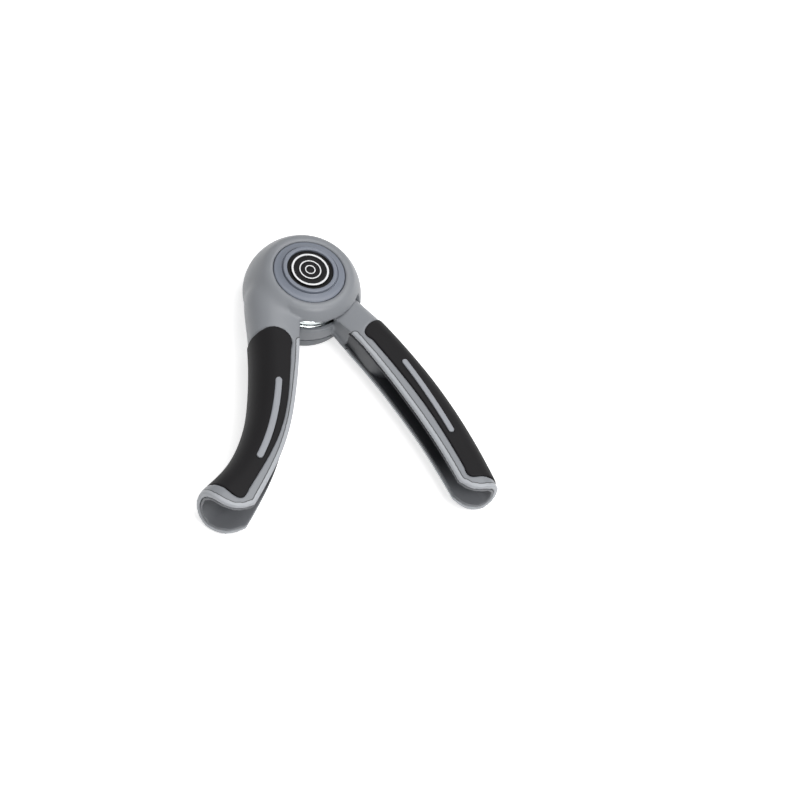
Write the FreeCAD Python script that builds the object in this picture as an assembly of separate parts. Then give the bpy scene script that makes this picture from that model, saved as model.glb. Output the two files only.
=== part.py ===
import FreeCAD, Part
import math
import os
from FreeCAD import Vector

# Hand grip strengthener lying on its side. The pivot axis is +Z through the origin,
# z = 0 is the face it rests on, and -Y points midway between the two handles.
# The palm handle carries the head; the finger handle turns inside the head.
# All sizes are millimetres and degrees.

# The two handles at rest
REST_ANGLE = 43.5           # between the inner edges of the two handles
CLOSING_ANGLE = 38.0        # travel of the finger handle when squeezed

# Head
TOP_Z = 26.6                # top of the raised ring round the badge
DOME_R = 24.0               # outer radius of the round dome
DOME_CENTRE_Z = 8.6
DOME_WALL = 2.0
SHOULDER_R = DOME_R - 5.0   # where the dome flattens towards the cap
SHOULDER_TOP_R = 15.4
SHOULDER_TOP_Z = TOP_Z - 1.8
SHOULDER_RISE = 0.55        # how far the shoulder arc bulges over its chord
SKIRT_R = DOME_R - 1.7      # lower edge of the dome
SKIRT_Z = 2.2
CEILING_Z = TOP_Z - 7.5     # underside of the dome's flat top wall
LIP_Z = TOP_Z - 7.1         # upper edge of the side window
WINDOW_PAST_NECK = 3.0      # degrees of window beyond the finger handle's neck
WINDOW_PAST_PALM = 1.0      # degrees from the palm handle's inner edge to the window
WINDOW_INNER_R = DOME_R - 6.8

# Head cap and badge
CAP_R = 14.6
CAP_SEAT_Z = TOP_Z - 4.0
CAP_GAP = 0.25
CAP_BODY = 2.1              # height of the cap's outer wall over its seat
CAP_DISH_RISE = 1.0
GROOVE_R = 11.4
GROOVE_WIDE = 0.55
GROOVE_DEEP = 0.6
BADGE_WELL_R = 9.5
BADGE_WELL_DEEP = 1.3
CAP_FLOOR = 0.55
NUT_ROOM_R = 9.3
BADGE_RING_R = 9.4
BADGE_RING_HIGH = 0.5
BADGE_R = 8.0
BADGE_HIGH = 0.95
BADGE_CROWN = 0.25
BADGE_EDGE_WIDE = 0.7
BADGE_RING_RADII = (6.6, 4.6, 2.6)
BADGE_RING_WIDE = 0.35
BADGE_RING_DEEP = 0.25

# Bottom cover and cap
COVER_R = DOME_R - 3.4
COVER_STEP_R = COVER_R - 0.7
COVER_STEP_Z = 3.0
COVER_TOP_Z = 5.6
COVER_WALL = 1.3
COVER_FLOOR = 1.7
COVER_CHAMFER = 1.3
BOLT_WELL_R = 11.0
COVER_WELL_ROOF = 1.2
BOTTOM_CAP_THICK = 0.8
BOTTOM_CAP_GAP = 0.2

# Pivot
BOLT_R = 4.0
BOLT_HEAD_R = 8.5
BOLT_HEAD_THICK = 1.4
BOLT_HEAD_GAP = 0.1
BOLT_SOCKET_R = 2.6
RUNNING_CLEARANCE = 0.05
BUSH_WALL = 1.5
HUB_SLEEVE_WALL = 1.8
WASHER_THICK = 0.6
WASHER_R = 9.0
THRUST_GAP = 0.05
NUT_FLATS = 13.0
NUT_THICK = 2.6
NUT_WASHER_THICK = 0.6
BOLT_PAST_NUT = 0.2

# Hub of the finger handle
HUB_FLOOR = 1.5
HUB_FLOOR_R = COVER_R - 1.7
HUB_WALL = 1.5
BAND_R = COVER_R
BAND_INNER_R = BAND_R - 2.1
BAND_EDGE = 0.6             # bevel round the band's top
BAND_TOP_Z = 12.5
BAND_GAP_START = 2.0        # degrees from the palm handle's inner edge to the band's end
BAND_GAP_WIDE = 73.0        # opening in the band that the palm leg passes through

# Torsion spring
WIRE_D = 3.0
COIL_R = BAND_INNER_R - 1.9
COIL_PITCH = 3.45
FULL_TURNS = 2
PALM_LEG_END = (36.0, 12.6)     # along and across the palm handle
FINGER_LEG_END = (42.0, 3.4)    # along and across the finger handle
COIL_SEAT_GAP = 0.3
SPOOL_GAP = 0.6             # between the coil and the spool inside it

# Handles
STATIONS = 9                # sections along each handle
ROUNDNESS = 0.46            # radius of the outer corners as a share of the height
EDGE_DROP = 1.3             # how far the flat sides fall off towards the open side
WALL = 2.0                  # shell
HOLLOW_LEAD_IN = 6.0        # how far the hollow starts nearer the pivot than the handle
LINER_WALL = 1.1
LINER_GAP = 0.2
LINER_START = 28.5          # distance from the pivot where the liner begins
GRIP_PROUD = 0.4
GRIP_POCKET = 1.1
STRIPE_PROUD = 0.85
STRIPE_DEEP = 0.2
CLIP_WIDE = 5.6
CLIP_GAP = 0.1
LEG_HOLE_GAP = 0.15
LEG_ROOM_GAP = 0.15
PALM_CLIP_LONG = 9.0
FINGER_CLIP_LONG = 17.0
NECK_WEB = 1.6              # wall that closes the neck towards the palm handle
NECK_WEB_DEPTH = 1.1        # how far that wall is set back
NECK_WEB_END = 28.2
SHELL_SPLIT_GAP = 0.3       # between the palm shell and what turns or nests beside it


class Handle:
    """One curved handle, described in its own plane: along from the pivot, across to its outer side."""

    def __init__(self, ray, side, start, lead_in, heading, arcs, widths, lows, highs):
        self.ray = math.radians(ray)
        self.side = side
        self.start = start
        self.lead_in = lead_in
        self.heading = heading
        self.arcs = arcs
        self.widths = widths
        self.lows = lows
        self.highs = highs
        self.length = sum(length for length, turn in arcs)

    def walk(self, distance):
        """Point and heading at a distance along the middle of the handle."""
        along, across = self.start
        angle = self.heading
        left = distance
        for length, turn in self.arcs:
            step = min(left, length)
            bend = math.radians(turn * step / length)
            chord = step * math.sin(bend / 2) / (bend / 2) if abs(bend) > 1e-9 else step
            middle = math.radians(angle) + bend / 2
            along += chord * math.cos(middle)
            across += chord * math.sin(middle)
            angle += math.degrees(bend)
            left -= step
            if left <= 0:
                break
        if left > 0:
            along += left * math.cos(math.radians(angle))
            across += left * math.sin(math.radians(angle))
        return along, across, angle

    def place(self, along, across, z):
        """A point of the handle's plane in the frame of the whole part."""
        c = math.cos(self.ray)
        s = math.sin(self.ray)
        return Vector(along * c - self.side * across * s, along * s + self.side * across * c, z)

    def at(self, distance, offset, z):
        """A point beside the middle line, offset to the outer side."""
        along, across, angle = self.walk(distance)
        a = math.radians(angle)
        return self.place(along - offset * math.sin(a), across + offset * math.cos(a), z)

    def half_width(self, distance):
        return between(self.widths, distance / self.length)

    def low(self, distance):
        return between(self.lows, distance / self.length)

    def high(self, distance):
        return between(self.highs, distance / self.length)

    def section(self, distance, skin, inner_reach):
        """Closed outline across the handle, flat-backed on its inner side and round outside."""
        half = self.half_width(distance) + skin
        inner = -self.half_width(distance) - inner_reach
        low = self.low(distance) - skin
        high = self.high(distance) + skin
        r = ROUNDNESS * (self.high(distance) - self.low(distance)) + skin
        diagonal = r * math.sqrt(0.5)
        flat = half - r
        middle = (inner + flat) / 2
        drop = EDGE_DROP

        def p(offset, z):
            return self.at(distance, offset, z)

        edges = [
            Part.Arc(p(inner, high - drop), p(middle, high - drop / 4), p(flat, high)).toShape(),
            Part.Arc(p(flat, high), p(flat + diagonal, high - r + diagonal), p(half, high - r)).toShape(),
            Part.LineSegment(p(half, high - r), p(half, low + r)).toShape(),
            Part.Arc(p(half, low + r), p(flat + diagonal, low + r - diagonal), p(flat, low)).toShape(),
            Part.Arc(p(flat, low), p(middle, low + drop / 4), p(inner, low + drop)).toShape(),
            Part.LineSegment(p(inner, low + drop), p(inner, high - drop)).toShape(),
        ]
        return Part.Wire(edges)

    def body(self, skin, inner_reach, first=0.0):
        """Solid of the handle, grown by skin and carried past its open side by inner_reach."""
        stations = [self.length * i / (STATIONS - 1) for i in range(STATIONS)]
        if first < 0:
            stations.insert(0, first)
        return Part.makeLoft([self.section(s, skin, inner_reach) for s in stations], True, False)

    def prism(self, outline_edges):
        """Upright block over a closed outline drawn at z = 0."""
        face = Part.Face(Part.Wire(outline_edges))
        block = face.extrude(Vector(0, 0, TOP_Z + 20))
        block.translate(Vector(0, 0, -10))
        return block


def between(stations, share):
    """Value at a share of the handle's length, on a smooth curve through stations of (share, value)."""
    if share <= stations[0][0]:
        return stations[0][1]
    last = len(stations) - 1
    slopes = [0.0] * (last + 1)
    for i in range(1, last):
        before = (stations[i][1] - stations[i - 1][1]) / (stations[i][0] - stations[i - 1][0])
        after = (stations[i + 1][1] - stations[i][1]) / (stations[i + 1][0] - stations[i][0])
        slopes[i] = 2 * before * after / (before + after) if before * after > 0 else 0.0
    for i in range(last):
        s0, v0 = stations[i]
        s1, v1 = stations[i + 1]
        if share <= s1:
            t = (share - s0) / (s1 - s0)
            rise = v0 * (1 + 2 * t) * (1 - t) ** 2 + v1 * t * t * (3 - 2 * t)
            return rise + (s1 - s0) * t * (1 - t) * (slopes[i] * (1 - t) - slopes[i + 1] * t)
    return stations[-1][1]


palm = Handle(
    ray=-90 - REST_ANGLE / 2,
    side=-1,
    start=(DOME_R - 4.0, 10.9),
    lead_in=14.0,
    heading=-10.0,
    arcs=[(44.5, 10.0), (58.0, 32.0)],
    widths=[(-0.15, 9.5), (0.0, 10.2), (0.11, 9.5), (0.3, 8.9), (0.5, 8.5), (0.72, 8.6), (0.85, 9.7), (1.0, 10.2)],
    lows=[(0.0, 1.6), (0.15, 1.0), (1.0, 1.0)],
    highs=[(0.0, 22.0), (0.12, 21.6), (1.0, 21.6)],
)
finger = Handle(
    ray=-90 + REST_ANGLE / 2,
    side=1,
    start=(DOME_R - 4.0, 7.2),
    lead_in=3.0,
    heading=6.5,
    arcs=[(98.5, -20.2)],
    widths=[(0.0, 7.8), (0.15, 8.0), (0.5, 8.5), (0.8, 8.2), (1.0, 7.9)],
    lows=[(0.0, 6.3), (0.14, 5.3), (0.6, 5.1), (1.0, 4.8)],
    highs=[(0.0, LIP_Z - 0.4), (0.025, LIP_Z - 0.3), (0.14, 21.3), (1.0, 21.3)],
)


def polar(radius, degrees, z=0.0):
    a = math.radians(degrees)
    return Vector(radius * math.cos(a), radius * math.sin(a), z)


def turned(points):
    """Solid of revolution about the pivot from a closed outline of (radius, z) points.

    A middle point given as ("via", radius, z) makes the stretch round it an arc."""
    edges = []
    here = points[0]
    i = 1
    loop = points + [points[0]]
    while i < len(loop):
        if loop[i][0] == "via":
            via = Vector(loop[i][1], 0, loop[i][2])
            end = loop[i + 1]
            edges.append(Part.Arc(Vector(here[0], 0, here[1]), via, Vector(end[0], 0, end[1])).toShape())
            i += 2
        else:
            end = loop[i]
            edges.append(Part.LineSegment(Vector(here[0], 0, here[1]), Vector(end[0], 0, end[1])).toShape())
            i += 1
        here = end
    face = Part.Face(Part.Wire(edges))
    return face.revolve(Vector(0, 0, 0), Vector(0, 0, 1), 360)


def tube(inner_r, outer_r, low, high):
    outer = Part.makeCylinder(outer_r, high - low, Vector(0, 0, low))
    return outer.cut(Part.makeCylinder(inner_r, high - low, Vector(0, 0, low)))


def sector(inner_r, outer_r, low, high, from_deg, to_deg):
    """Part of a tube between two directions, counter-clockwise."""
    sweep = to_deg - from_deg
    edges = [
        Part.LineSegment(polar(inner_r, from_deg, low), polar(outer_r, from_deg, low)).toShape(),
        Part.LineSegment(polar(outer_r, from_deg, low), polar(outer_r, from_deg, high)).toShape(),
        Part.LineSegment(polar(outer_r, from_deg, high), polar(inner_r, from_deg, high)).toShape(),
        Part.LineSegment(polar(inner_r, from_deg, high), polar(inner_r, from_deg, low)).toShape(),
    ]
    face = Part.Face(Part.Wire(edges))
    return face.revolve(Vector(0, 0, 0), Vector(0, 0, 1), sweep)


def sphere_radius(radius, z):
    """Radius of the dome's sphere, of the given size, at a height."""
    return math.sqrt(radius ** 2 - (z - DOME_CENTRE_Z) ** 2)


def sphere_height(radius, r):
    return DOME_CENTRE_Z + math.sqrt(radius ** 2 - r ** 2)


# Heights that follow from the sizes above, from the bottom up
WELL_TOP_Z = BOTTOM_CAP_THICK + BOLT_HEAD_GAP + BOLT_HEAD_THICK
WELL_ROOF_TOP_Z = WELL_TOP_Z + COVER_WELL_ROOF
LOWER_WASHER_Z = WELL_ROOF_TOP_Z + THRUST_GAP
HUB_LOW_Z = LOWER_WASHER_Z + WASHER_THICK + THRUST_GAP
HUB_FLOOR_TOP_Z = HUB_LOW_Z + HUB_FLOOR
SLEEVE_TOP_Z = CEILING_Z - WASHER_THICK - 2 * THRUST_GAP
BUSH_R = BOLT_R + RUNNING_CLEARANCE + BUSH_WALL
SLEEVE_R = BUSH_R + HUB_SLEEVE_WALL
BOLT_HOLE_R = BOLT_R + RUNNING_CLEARANCE
NUT_SEAT_Z = CAP_SEAT_Z - 1.6
PALM_LEG_Z = HUB_FLOOR_TOP_Z + COIL_SEAT_GAP + WIRE_D / 2


def leg_touch_deg(handle, end):
    """Direction, in degrees, where a straight leg to the end point leaves the coil."""
    reach = math.hypot(end[0], end[1])
    local = math.degrees(math.atan2(end[1], end[0]) + math.acos(COIL_R / reach))
    return math.degrees(handle.ray) + handle.side * local


PALM_TOUCH = leg_touch_deg(palm, PALM_LEG_END)
FINGER_TOUCH = leg_touch_deg(finger, FINGER_LEG_END)
COIL_SWEEP = (PALM_TOUCH - FINGER_TOUCH) % 360 + 360 * FULL_TURNS
FINGER_LEG_Z = PALM_LEG_Z + COIL_PITCH * COIL_SWEEP / 360
NECK_OUTER = finger.start[1] + finger.half_width(0) + 0.3
NECK_OUTER_DEG = math.degrees(finger.ray) + math.degrees(math.atan2(NECK_OUTER, DOME_R - 5.5))
WINDOW_FROM = math.degrees(palm.ray) + WINDOW_PAST_PALM
WINDOW_TO = NECK_OUTER_DEG + WINDOW_PAST_NECK


def biarc(start, start_way, end, end_way):
    """Two arcs that join two points smoothly, with the given directions at both."""
    span = end - start
    both = start_way + end_way
    lean = 2 * (1 - start_way.dot(end_way))
    reach = (-span.dot(both) + math.sqrt(span.dot(both) ** 2 + lean * span.dot(span))) / lean
    meet = (start + end + (start_way - end_way) * reach) * 0.5
    edges = []
    for a, corner, b in ((start, start + start_way * reach, meet), (meet, end - end_way * reach, end)):
        cosine = (corner - a).dot(b - a) / ((corner - a).Length * (b - a).Length)
        chord_middle = (a + b) * 0.5
        top = chord_middle + (corner - chord_middle) * (cosine / (1 + cosine))
        edges.append(Part.Arc(a, top, b).toShape())
    return edges


def coil_point(share):
    """Point and direction of the wire's middle at a share of the coil, from the palm leg upwards."""
    degrees = PALM_TOUCH - COIL_SWEEP * share
    z = PALM_LEG_Z + (FINGER_LEG_Z - PALM_LEG_Z) * share
    way = polar(1.0, degrees - 90)
    if 0 < share < 1:
        way = way + Vector(0, 0, COIL_PITCH / (2 * math.pi * COIL_R))
        way.normalize()
    return polar(COIL_R, degrees, z), way


def torsion_spring():
    steps = math.ceil(COIL_SWEEP / 90)
    palm_tip = palm.place(PALM_LEG_END[0], PALM_LEG_END[1], PALM_LEG_Z)
    finger_tip = finger.place(FINGER_LEG_END[0], FINGER_LEG_END[1], FINGER_LEG_Z)
    edges = [Part.LineSegment(palm_tip, coil_point(0)[0]).toShape()]
    for i in range(steps):
        start, start_way = coil_point(i / steps)
        end, end_way = coil_point((i + 1) / steps)
        edges += biarc(start, start_way, end, end_way)
    edges.append(Part.LineSegment(coil_point(1)[0], finger_tip).toShape())
    path = Part.Wire(edges)
    first_way = coil_point(0)[0] - palm_tip
    profile = Part.Wire([Part.makeCircle(WIRE_D / 2, palm_tip, first_way)])
    pipe = Part.BRepOffsetAPI.MakePipeShell(path)
    pipe.add(profile)
    pipe.build()
    pipe.makeSolid()
    print("spring volume over section times length:",
          round(pipe.shape().Volume / (math.pi * WIRE_D ** 2 / 4 * path.Length), 4))
    samples = 400
    points = [coil_point(i / samples)[0] for i in range(samples + 1)]
    half_turn = int(samples * 180 / COIL_SWEEP)
    least = min(
        (a - b).Length
        for i, a in enumerate(points)
        for b in points[i + half_turn:]
    )
    print("spring least gap to itself:", round(least - WIRE_D, 3))
    return pipe.shape()


def dome_outer():
    """Round outside of the head, from the lower skirt over the shoulder to the cap's rim."""
    shoulder_z = sphere_height(DOME_R, SHOULDER_R)
    chord_r = (SHOULDER_R + SHOULDER_TOP_R) / 2
    chord_z = (shoulder_z + SHOULDER_TOP_Z) / 2
    upper_z = DOME_CENTRE_Z + (shoulder_z - DOME_CENTRE_Z) / 2
    skirt_mid_z = (SKIRT_Z + DOME_CENTRE_Z) / 2
    skirt_mid_r = SKIRT_R + 0.73 * (DOME_R - SKIRT_R)
    return turned([
        (0, SKIRT_Z),
        (SKIRT_R, SKIRT_Z),
        ("via", skirt_mid_r, skirt_mid_z),
        (DOME_R, DOME_CENTRE_Z),
        ("via", sphere_radius(DOME_R, upper_z), upper_z),
        (SHOULDER_R, shoulder_z),
        ("via", chord_r + SHOULDER_RISE * 0.3, chord_z + SHOULDER_RISE),
        (SHOULDER_TOP_R, SHOULDER_TOP_Z),
        (0, SHOULDER_TOP_Z),
    ])


def dome_inner():
    """Room inside the head."""
    inner_r = DOME_R - DOME_WALL
    ceiling_r = sphere_radius(inner_r, CEILING_Z)
    middle_z = (CEILING_Z + COVER_TOP_Z) / 2
    low_r = COVER_R + SHELL_SPLIT_GAP
    low_top_z = COVER_TOP_Z + SHELL_SPLIT_GAP
    return turned([
        (0, -1),
        (low_r, -1),
        (low_r, low_top_z),
        (sphere_radius(inner_r, low_top_z), low_top_z),
        ("via", sphere_radius(inner_r, middle_z), middle_z),
        (ceiling_r, CEILING_Z),
        (0, CEILING_Z),
    ])


def end_trim(handle):
    """Block that rounds the far end of a handle in plan."""
    length = handle.length
    half = handle.half_width(length)
    inner = handle.at(length - 1.5 * half, -1.3 * half, 0)
    outer = handle.at(length - 0.25 * half, 1.4 * half, 0)
    far_outer = handle.at(length + 3 * half, 1.4 * half, 0)
    far_inner = handle.at(length + 3 * half, -1.3 * half, 0)
    curve = Part.BSplineCurve()
    curve.interpolate([
        inner,
        handle.at(length - 0.85 * half, -0.98 * half, 0),
        handle.at(length - 0.3 * half, -0.6 * half, 0),
        handle.at(length - 0.02 * half, 0, 0),
        handle.at(length, 0.4 * half, 0),
        outer,
    ])
    return handle.prism([
        curve.toShape(),
        Part.LineSegment(outer, far_outer).toShape(),
        Part.LineSegment(far_outer, far_inner).toShape(),
        Part.LineSegment(far_inner, inner).toShape(),
    ])


def grip_region(handle, strip, head_peak, head_inner, head_outer, end_inner, end_peak, end_dip):
    """Plan outline of the soft grip: strip is the bare width kept beside the open side."""
    length = handle.length

    def q(distance, offset):
        return handle.at(distance, offset, 0)

    inner_points = []
    for share in (0.0, 0.2, 0.4, 0.6, 0.8, 1.0):
        s = head_inner + (end_inner - head_inner) * share
        inner_points.append(q(s, -handle.half_width(s) + between(strip, share)))
    inner_line = Part.BSplineCurve()
    inner_line.interpolate(inner_points)
    half_end = handle.half_width(length)
    wave = Part.BSplineCurve()
    wave.interpolate([
        inner_points[-1],
        q(end_peak, -0.35 * half_end),
        q((end_peak + end_dip) / 2, 0.25 * half_end),
        q(end_dip, 0.8 * half_end),
        q(end_dip + 0.5, half_end + 3),
    ])
    half_head = handle.half_width(head_outer)
    head_arch = Part.BSplineCurve()
    head_arch.interpolate([
        q(head_outer, half_head + 3),
        q((head_outer + 3 * head_peak) / 4, 0.65 * half_head),
        q(head_peak, 0.1 * half_head),
        q((head_inner + 3 * head_peak) / 4, -0.45 * half_head),
        inner_points[0],
    ])
    return handle.prism([
        inner_line.toShape(),
        wave.toShape(),
        Part.LineSegment(q(end_dip + 0.5, half_end + 3), q(end_dip, half_end + 14)).toShape(),
        Part.LineSegment(q(end_dip, half_end + 14), q(head_outer, half_head + 14)).toShape(),
        Part.LineSegment(q(head_outer, half_head + 14), q(head_outer, half_head + 3)).toShape(),
        head_arch.toShape(),
    ])


def stripe_region(handle, first, last, offset_first, offset_last, half_wide):
    """Plan outline of the narrow stripe with rounded ends."""
    shares = (0.0, 0.33, 0.67, 1.0)
    inner_points = []
    outer_points = []
    for share in shares:
        s = first + (last - first) * share
        offset = offset_first + (offset_last - offset_first) * share
        inner_points.append(handle.at(s, offset - half_wide, 0))
        outer_points.append(handle.at(s, offset + half_wide, 0))
    inner_line = Part.BSplineCurve()
    inner_line.interpolate(inner_points)
    outer_line = Part.BSplineCurve()
    outer_line.interpolate(outer_points)
    start_tip = handle.at(first - half_wide, offset_first, 0)
    end_tip = handle.at(last + half_wide, offset_last, 0)
    return handle.prism([
        inner_line.toShape(),
        Part.Arc(inner_points[-1], end_tip, outer_points[-1]).toShape(),
        outer_line.toShape(),
        Part.Arc(outer_points[0], start_tip, inner_points[0]).toShape(),
    ])


def leg_room(handle, leg_end, leg_z):
    """Clear way for a spring leg, from the coil to where it ends."""
    tip = handle.place(leg_end[0], leg_end[1], leg_z)
    touch = polar(COIL_R, leg_touch_deg(handle, leg_end), leg_z)
    return Part.makeCylinder(WIRE_D / 2 + LEG_ROOM_GAP, (tip - touch).Length, touch, tip - touch)


def leg_clip(handle, leg_end, leg_z, long):
    """Block inside the liner that holds the end of a spring leg."""
    tip = handle.place(leg_end[0], leg_end[1], leg_z)
    touch = polar(COIL_R, leg_touch_deg(handle, leg_end), leg_z)
    way = tip - touch
    way.normalize()
    room = handle.body(-(WALL + LINER_GAP + LINER_WALL + CLIP_GAP), -0.6)
    middle = tip - way * (long / 2 - 2)
    box = Part.makeBox(long, CLIP_WIDE, 2 * TOP_Z, Vector(-long / 2, -CLIP_WIDE / 2, -TOP_Z))
    box.rotate(Vector(0, 0, 0), Vector(0, 0, 1), math.degrees(math.atan2(way.y, way.x)))
    box.translate(middle)
    hole = Part.makeCylinder(WIRE_D / 2 + LEG_HOLE_GAP, long * 2, tip + way * LEG_HOLE_GAP, way * -1)
    return room.common(box).cut(hole)


def handle_parts(handle, grip, stripe):
    """Bare shell, soft grip, stripes and liner of one handle."""
    outer = handle.body(0.0, 0.0, first=-handle.lead_in)
    trim = end_trim(handle)
    grip_layer = handle.body(GRIP_PROUD, 0.3).cut(handle.body(-GRIP_POCKET, 2.0))
    grip_solid = grip_layer.common(grip_region(handle, **grip))
    stripe_layer = handle.body(STRIPE_PROUD, 0.3).cut(handle.body(-STRIPE_DEEP, 2.0))
    stripes = stripe_layer.common(stripe_region(handle, **stripe))
    liner_outer = handle.body(-(WALL + LINER_GAP), 0.0, first=-HOLLOW_LEAD_IN)
    liner_inner = handle.body(-(WALL + LINER_GAP + LINER_WALL), 2.0, first=-HOLLOW_LEAD_IN)
    liner = liner_outer.cut(liner_inner).cut(trim)
    near_head = Part.makeCylinder(LINER_START, TOP_Z + 20, Vector(0, 0, -10))
    liner = liner.cut(near_head)
    return outer.cut(trim), grip_solid, stripes, liner


def palm_shell(outer, grip_solid):
    """Dome and palm handle, moulded in one piece, with the window for the finger handle."""
    hollow = palm.body(-WALL, 3.0, first=-HOLLOW_LEAD_IN)
    solid = dome_outer().fuse(outer)
    solid = solid.cut(dome_inner()).cut(hollow.cut(above_ceiling()))
    window_top = LIP_Z
    window = sector(WINDOW_INNER_R, DOME_R + 0.6, -1, window_top, WINDOW_FROM, WINDOW_TO)
    solid = solid.cut(window)
    cap_room = Part.makeCylinder(CAP_R + CAP_GAP, 10, Vector(0, 0, CAP_SEAT_Z))
    nut_room = Part.makeCylinder(NUT_FLATS / math.sqrt(3) + 0.6, 10, Vector(0, 0, NUT_SEAT_Z))
    bolt_hole = Part.makeCylinder(BOLT_HOLE_R, 40, Vector(0, 0, 0))
    solid = solid.cut(cap_room).cut(nut_room).cut(bolt_hole)
    return solid.cut(leg_room(palm, PALM_LEG_END, PALM_LEG_Z)).cut(grip_solid)


def neck_web():
    """Wall across the neck's open side, from the band to where the liner begins."""
    first = BAND_INNER_R - finger.start[0]
    last = NECK_WEB_END - finger.start[0]
    shares = (0.0, 0.5, 1.0)
    near = [finger.at(first + (last - first) * i, NECK_WEB_DEPTH - finger.half_width(0), 0) for i in shares]
    far = [finger.at(first + (last - first) * i, NECK_WEB_DEPTH + NECK_WEB - finger.half_width(0), 0)
           for i in shares]
    wall = finger.prism([
        Part.Arc(*near).toShape(),
        Part.LineSegment(near[-1], far[-1]).toShape(),
        Part.Arc(far[-1], far[1], far[0]).toShape(),
        Part.LineSegment(far[0], near[0]).toShape(),
    ])
    return wall.common(finger.body(-WALL / 2, 0.0, first=-finger.lead_in))


def above_ceiling():
    """Keeps the flat top wall of the head whole over the handle's hollow."""
    return Part.makeCylinder(SHOULDER_R, 20, Vector(0, 0, CEILING_Z))


def finger_shell(outer, grip_solid):
    """Finger handle with its hub: floor, band round the spring and sleeve round the pivot."""
    hollow = finger.body(-WALL, 3.0, first=-HOLLOW_LEAD_IN)
    neck = outer.cut(hollow).fuse(neck_web())
    neck = neck.cut(Part.makeCylinder(BAND_INNER_R, 2 * TOP_Z, Vector(0, 0, -TOP_Z / 2)))
    neck = neck.cut(leg_room(finger, FINGER_LEG_END, FINGER_LEG_Z))
    gap_from = math.degrees(palm.ray) + BAND_GAP_START
    band_low = COVER_TOP_Z + SHELL_SPLIT_GAP
    lower_r = HUB_FLOOR_R - HUB_WALL
    band = turned([
        (BAND_INNER_R, band_low),
        (BAND_R, band_low),
        (BAND_R, BAND_TOP_Z - BAND_EDGE),
        (BAND_R - BAND_EDGE, BAND_TOP_Z),
        (BAND_INNER_R, BAND_TOP_Z),
    ])
    band = band.cut(sector(lower_r - 1, BAND_R + 1, -1, 2 * TOP_Z, gap_from - BAND_GAP_WIDE, gap_from))
    lower_wall = tube(lower_r, HUB_FLOOR_R, HUB_LOW_Z, band_low)
    lower_wall = lower_wall.cut(sector(lower_r - 1, BAND_R + 1, HUB_FLOOR_TOP_Z, 2 * TOP_Z,
                                       gap_from - BAND_GAP_WIDE, gap_from))
    floor = tube(BUSH_R, lower_r + HUB_WALL / 2, HUB_LOW_Z, HUB_FLOOR_TOP_Z)
    sleeve = tube(BUSH_R, SLEEVE_R, HUB_LOW_Z, SLEEVE_TOP_Z)
    return neck.fuse([band, lower_wall, floor, sleeve]).removeSplitter().cut(grip_solid)


def head_cap():
    """Stepped round cap: outer wall, dished ring, groove, raised ring and a well for the badge."""
    well_floor = TOP_Z - BADGE_WELL_DEEP
    dish_inner = GROOVE_R + GROOVE_WIDE / 2
    raised_outer = GROOVE_R - GROOVE_WIDE / 2
    rim_top = CAP_SEAT_Z + CAP_BODY
    dish_top = rim_top + CAP_DISH_RISE
    dish_r = (CAP_R + dish_inner) / 2
    return turned([
        (0, well_floor - CAP_FLOOR),
        (NUT_ROOM_R, well_floor - CAP_FLOOR),
        (NUT_ROOM_R, CAP_SEAT_Z),
        (CAP_R, CAP_SEAT_Z),
        (CAP_R, rim_top - 0.5),
        (CAP_R - 0.5, rim_top),
        ("via", dish_r, rim_top + CAP_DISH_RISE * 0.36),
        (dish_inner, dish_top),
        (dish_inner, dish_top - GROOVE_DEEP),
        (raised_outer, dish_top - GROOVE_DEEP),
        (raised_outer, TOP_Z - 0.35),
        (raised_outer - 0.35, TOP_Z),
        (BADGE_WELL_R + 0.35, TOP_Z),
        (BADGE_WELL_R, TOP_Z - 0.35),
        (BADGE_WELL_R, well_floor),
        (0, well_floor),
    ])


def badge_disc():
    """Plain badge with concentric turned grooves."""
    low = TOP_Z - BADGE_WELL_DEEP
    high = low + BADGE_HIGH
    disc = turned([
        (0, low),
        (BADGE_R, low),
        (BADGE_R, high - BADGE_CROWN),
        (BADGE_R - BADGE_EDGE_WIDE, high),
        (0, high),
    ])
    for radius in BADGE_RING_RADII:
        disc = disc.cut(tube(radius - BADGE_RING_WIDE / 2, radius + BADGE_RING_WIDE / 2,
                             high - BADGE_RING_DEEP, high + 1))
    return disc


def bottom_cover():
    """Shallow cup under the head, with two steps outside and a well for the bolt head."""
    return turned([
        (BOLT_WELL_R, 0),
        (COVER_STEP_R - COVER_CHAMFER, 0),
        (COVER_STEP_R, COVER_CHAMFER),
        (COVER_STEP_R, COVER_STEP_Z),
        (COVER_R, COVER_STEP_Z),
        (COVER_R, COVER_TOP_Z),
        (COVER_R - COVER_WALL, COVER_TOP_Z),
        (COVER_R - COVER_WALL, COVER_FLOOR),
        (BOLT_WELL_R + COVER_FLOOR, COVER_FLOOR),
        (BOLT_WELL_R + COVER_FLOOR, WELL_ROOF_TOP_Z),
        (BOLT_HOLE_R, WELL_ROOF_TOP_Z),
        (BOLT_HOLE_R, WELL_TOP_Z),
        (BOLT_WELL_R, WELL_TOP_Z),
    ])


def pivot_bolt():
    head = Part.makeCylinder(BOLT_HEAD_R, BOLT_HEAD_THICK, Vector(0, 0, WELL_TOP_Z - BOLT_HEAD_THICK))
    shank_top = NUT_SEAT_Z + NUT_WASHER_THICK + NUT_THICK + BOLT_PAST_NUT
    shank = Part.makeCylinder(BOLT_R, shank_top - WELL_TOP_Z, Vector(0, 0, WELL_TOP_Z))
    socket = Part.makeCylinder(BOLT_SOCKET_R, BOLT_HEAD_THICK * 0.7, Vector(0, 0, WELL_TOP_Z - BOLT_HEAD_THICK))
    return head.fuse(shank).cut(socket).removeSplitter()


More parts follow.
